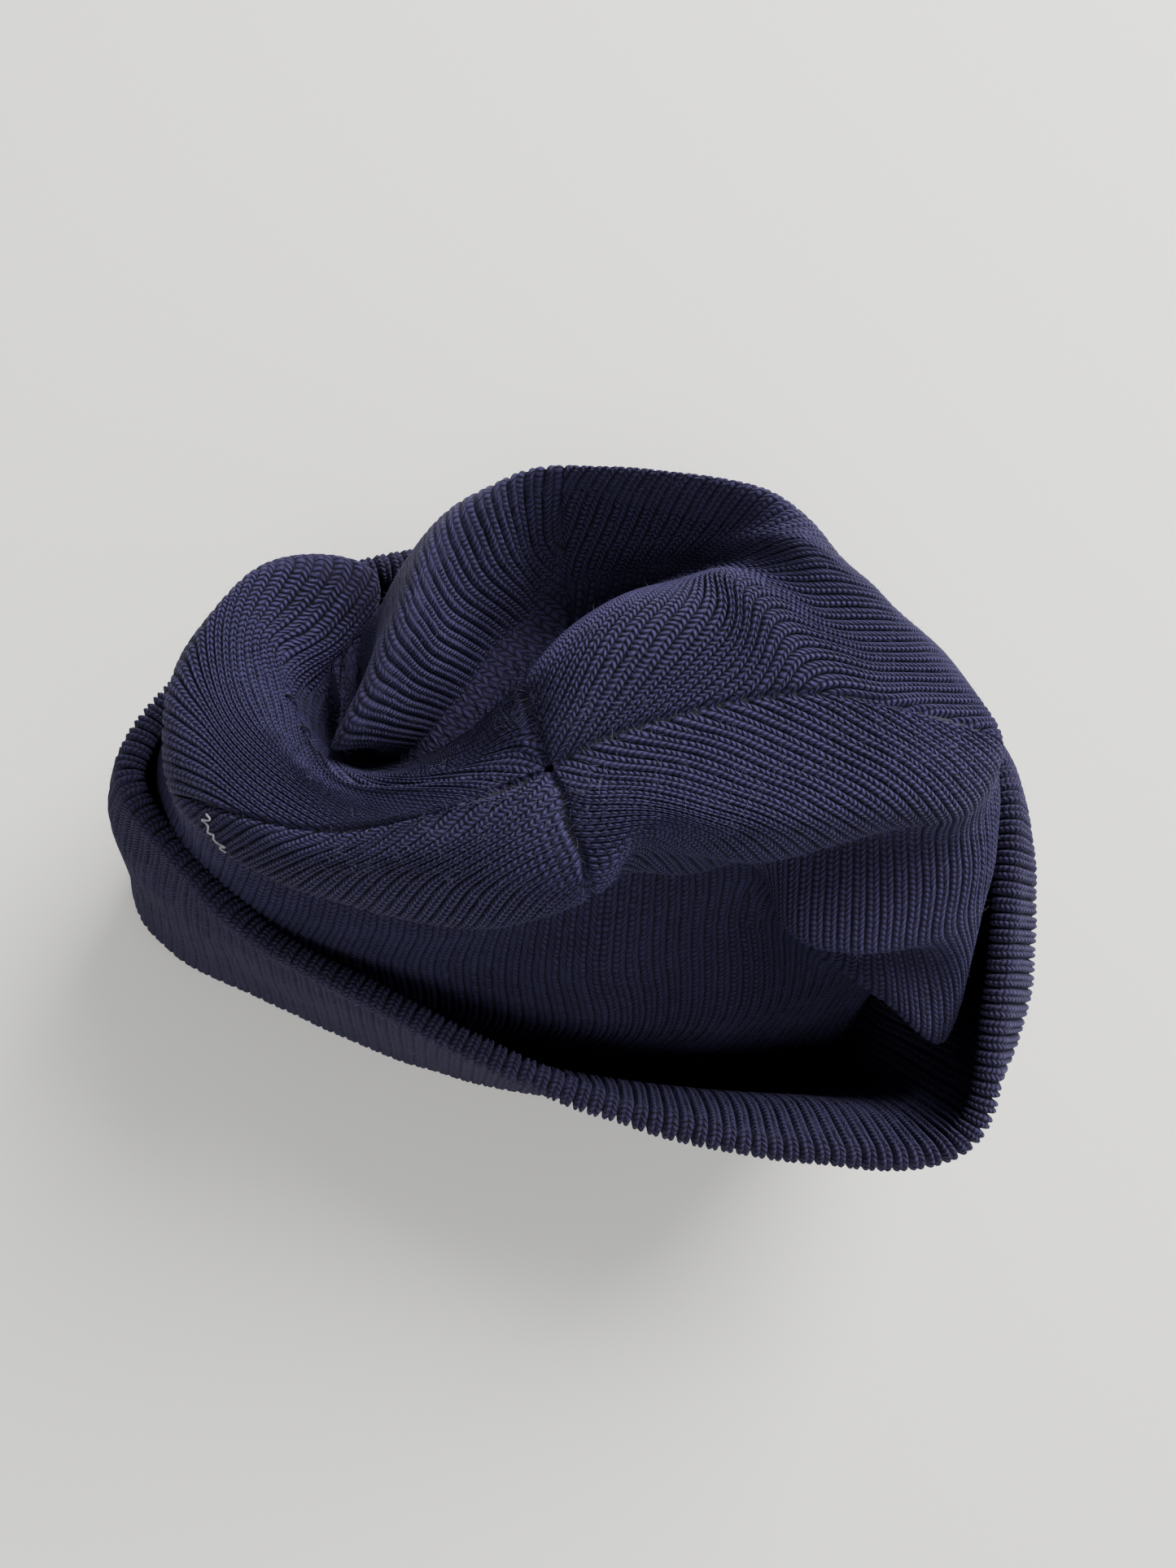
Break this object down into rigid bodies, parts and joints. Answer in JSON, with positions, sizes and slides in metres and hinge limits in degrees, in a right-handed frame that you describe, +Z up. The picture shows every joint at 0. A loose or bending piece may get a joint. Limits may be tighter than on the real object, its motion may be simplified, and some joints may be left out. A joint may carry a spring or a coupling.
{
  "type": "knitted watch cap",
  "caption": "Rib-knit watch cap with a turned-up cuff and a four-dart crown, double layered, lying slumped on its open end.",
  "frame": {"origin": "middle of the cap's bounding box, on the surface it lies on", "axes": "+Z up from the surface, +X to the right along the longer side, +Y away from the front lip"},
  "size_m": [0.1853, 0.1257, 0.1005],
  "materials": {
    "shell_knit": "rib knit, soft and slightly fuzzy",
    "lining_knit": "rib knit, soft and slightly fuzzy",
    "seam_thread": "matte overlocked seam",
    "loose_thread": "matte fluffy thread"
  },
  "bodies": {
    "root": {"lower_fold_outer": "lining_knit", "lower_fold_inner": "shell_knit", "cuff_outer": "lining_knit", "cuff_inner": "shell_knit", "cuff_rim": "lining_knit", "body_wall": "shell_knit", "gore_back_right": "shell_knit", "gore_back_left": "shell_knit", "gore_front_left": "shell_knit", "gore_front_right": "shell_knit", "crown_seam_right": "seam_thread", "crown_seam_back": "seam_thread", "crown_seam_left": "seam_thread", "crown_seam_front": "seam_thread", "lining_wall": "lining_knit", "lining_crown": "lining_knit", "thread_tail": "loose_thread"}
  },
  "joints": []
}
